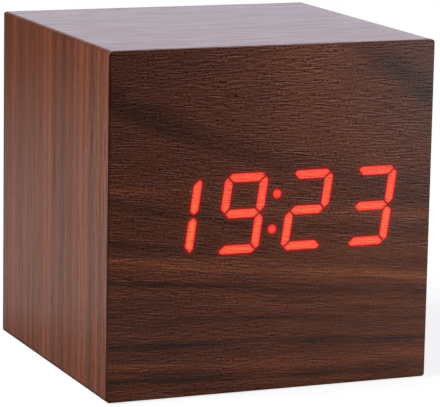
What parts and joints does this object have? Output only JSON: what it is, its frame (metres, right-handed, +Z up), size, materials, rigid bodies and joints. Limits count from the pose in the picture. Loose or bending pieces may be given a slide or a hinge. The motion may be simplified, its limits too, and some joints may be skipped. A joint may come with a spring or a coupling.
{
  "type": "digital alarm clock",
  "caption": "Cube-shaped wood-grain table clock: a red seven-segment display glows through its front film, and its back has push buttons, a power inlet and a hinged battery door.",
  "frame": {"origin": "centre of the bottom face, on the surface that the clock stands on", "axes": "+Z up, the display faces -Y, +X to the right of someone who reads the display"},
  "size_m": [0.064, 0.06, 0.064],
  "materials": {
    "wood_film": "satin wood-grain film",
    "lit_film": "wood-grain film, lit from behind",
    "fibreboard": "raw",
    "diffuser": "frosted",
    "mask_plastic": "moulded",
    "led": "clear resin",
    "circuit_board": "solder mask",
    "chip_plastic": "moulded",
    "steel": "zinc plated",
    "capacitor_sleeve": "shrunk sleeve",
    "header_plastic": "moulded",
    "ribbon": "flat cable",
    "switch_plastic": "moulded",
    "button_plastic": "fine texture",
    "black_plastic": "spark texture",
    "jack_plastic": "moulded",
    "brass": "plated",
    "sensor_bead": "glass bead",
    "cell_sleeve": "printed sleeve",
    "nickel": "nickel plated",
    "red_wire": "insulated wire",
    "black_wire": "insulated wire"
  },
  "bodies": {
    "case": {"front_film": "wood_film", "top_board": "wood_film", "bottom_board": "wood_film", "left_board": "wood_film", "right_board": "wood_film", "lit_segments": "lit_film", "front_board": "fibreboard", "corner_blocks": "fibreboard", "diffuser_sheet": "diffuser", "light_mask": "mask_plastic", "led_chips": "led", "display_pcb": "circuit_board", "button_pcb": "circuit_board", "clock_chip": "chip_plastic", "buzzer": "chip_plastic", "display_screws": "steel", "button_pcb_screws": "steel", "rear_cover_screws": "steel", "crystal": "steel", "microphone": "steel", "capacitor": "capacitor_sleeve", "ribbon_headers": "header_plastic", "ribbon_cable": "ribbon", "switch_bodies": "switch_plastic", "rear_cover": "black_plastic", "power_jack": "jack_plastic", "power_jack_pin": "brass", "thermistor": "sensor_bead", "battery_cells": "cell_sleeve", "positive_contact": "nickel", "negative_contact": "nickel", "bridge_contacts": "nickel", "contact_springs": "nickel", "battery_lead_red": "red_wire", "battery_lead_black": "black_wire"},
    "set_button": {"set_button": "button_plastic", "set_switch_plunger": "switch_plastic"},
    "up_button": {"up_button": "button_plastic", "up_switch_plunger": "switch_plastic"},
    "down_button": {"down_button": "button_plastic", "down_switch_plunger": "switch_plastic"},
    "battery_door": {"battery_door": "black_plastic"}
  },
  "joints": [
    {"name": "set_button_press", "type": "slide", "parent": "case", "child": "set_button", "axis": [0, -1, 0], "range_m": [0, 0.0005], "stiffness_N_per_m": 400},
    {"name": "up_button_press", "type": "slide", "parent": "case", "child": "up_button", "axis": [0, -1, 0], "range_m": [0, 0.0005], "stiffness_N_per_m": 400},
    {"name": "down_button_press", "type": "slide", "parent": "case", "child": "down_button", "axis": [0, -1, 0], "range_m": [0, 0.0005], "stiffness_N_per_m": 400},
    {"name": "battery_door_hinge", "type": "hinge", "parent": "case", "child": "battery_door", "pos_m": [0, 0.0278, 0.01285], "axis": [-1, 0, 0], "range_deg": [0, 90]}
  ]
}
